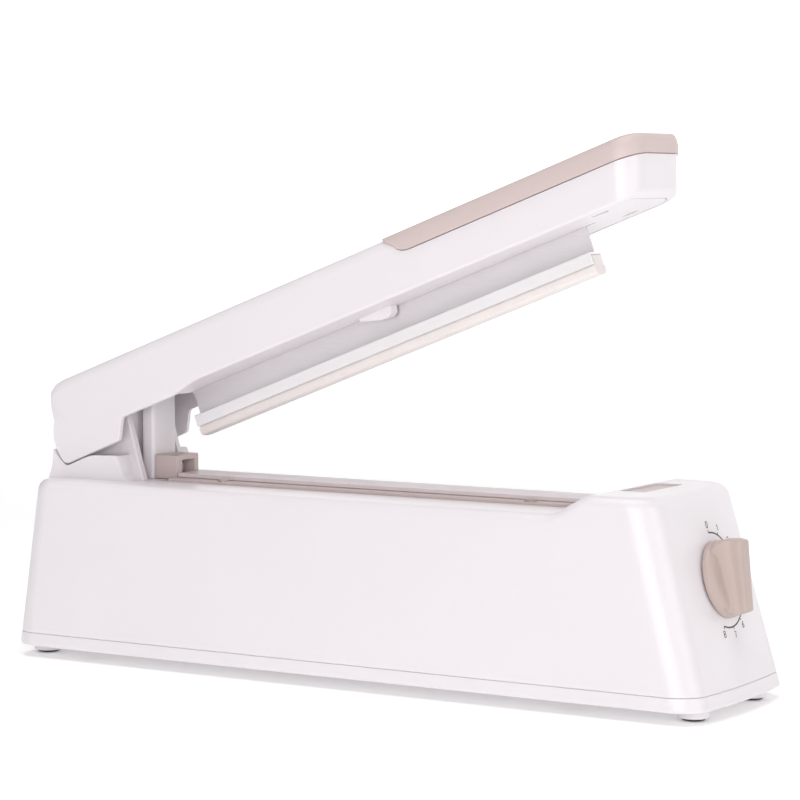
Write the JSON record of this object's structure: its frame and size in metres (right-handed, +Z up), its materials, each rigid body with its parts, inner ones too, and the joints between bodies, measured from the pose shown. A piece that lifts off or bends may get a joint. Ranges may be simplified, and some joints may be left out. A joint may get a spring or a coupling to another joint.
{
  "type": "bag heat sealer",
  "caption": "Tabletop hand-lever impulse bag sealer: long base with heating rail and dial timer, sprung press arm with silicone strip and grip cover.",
  "frame": {"origin": "under the middle of the overall bounding box, on the surface the feet stand on", "axes": "+X from the hinge to the timer knob along the sealing rail, -Y is the front side, +Z up"},
  "size_m": [0.3375, 0.0864, 0.225],
  "materials": {
    "white_shell": "satin moulded white",
    "accent_plastic": "fine moulded beige",
    "knob_plastic": "fine moulded beige",
    "foot_rubber": "dark rubber",
    "silicone": "pale silicone rubber",
    "aluminium": "extruded, satin",
    "steel": "satin sheet and turned steel",
    "nichrome": "flat resistance band",
    "ptfe_cloth": "coated glass cloth",
    "brass": "turned and pressed",
    "board": "laminate board",
    "copper_winding": "enamelled wire, taped",
    "dark_plastic": "moulded",
    "lamp_lens": "red lens"
  },
  "bodies": {
    "base": {"base_shell": "white_shell", "base_tray": "white_shell", "guide_post": "white_shell", "deck_inlay": "accent_plastic", "end_block": "accent_plastic", "lamp_window": "accent_plastic", "foot_front_left": "foot_rubber", "foot_front_right": "foot_rubber", "foot_rear_left": "foot_rubber", "foot_rear_right": "foot_rubber", "seal_rail": "aluminium", "hinge_pin": "steel", "return_spring": "steel", "clamp_screw": "steel", "tray_screw_1": "steel", "tray_screw_2": "steel", "tray_screw_3": "steel", "tray_screw_4": "steel", "transformer_core": "steel", "strip_clamp_hinge": "steel", "heater_strip": "nichrome", "ptfe_cover": "ptfe_cloth", "inlay_screw_1": "brass", "inlay_screw_2": "brass", "inlay_screw_3": "brass", "inlay_screw_4": "brass", "strip_clamp_knob": "brass", "circuit_board": "board", "transformer_coil": "copper_winding", "switch_body": "dark_plastic", "timer_body": "dark_plastic", "window_tray": "dark_plastic", "relay": "dark_plastic", "capacitor": "dark_plastic", "cord_gland": "dark_plastic", "indicator_lamp": "lamp_lens"},
    "arm": {"arm_shell": "white_shell", "grip_cover": "accent_plastic", "arm_cover": "white_shell", "press_web": "steel", "press_channel": "aluminium", "silicone_strip": "silicone", "web_screw_1": "steel", "web_screw_2": "steel"},
    "knob": {"timer_knob": "knob_plastic", "timer_shaft": "steel"},
    "button": {"switch_button": "accent_plastic"}
  },
  "joints": [
    {"name": "arm_hinge", "type": "hinge", "parent": "base", "child": "arm", "pos_m": [-0.13466, 0, 0.1], "axis": [0, 1, 0], "range_deg": [0, 20.7], "stiffness_Nm_per_rad": 1.6, "springref_deg": -17.19, "deforming": ["return_spring"]},
    {"name": "timer_turn", "type": "hinge", "parent": "base", "child": "knob", "pos_m": [0.15565, 0, 0.051], "axis": [-0.9616, 0, -0.2745], "range_deg": [0, 200]},
    {"name": "button_press", "type": "slide", "parent": "base", "child": "button", "axis": [0, 0, -1], "range_m": [0, 0.001], "stiffness_N_per_m": 400, "springref_m": -0.001}
  ]
}
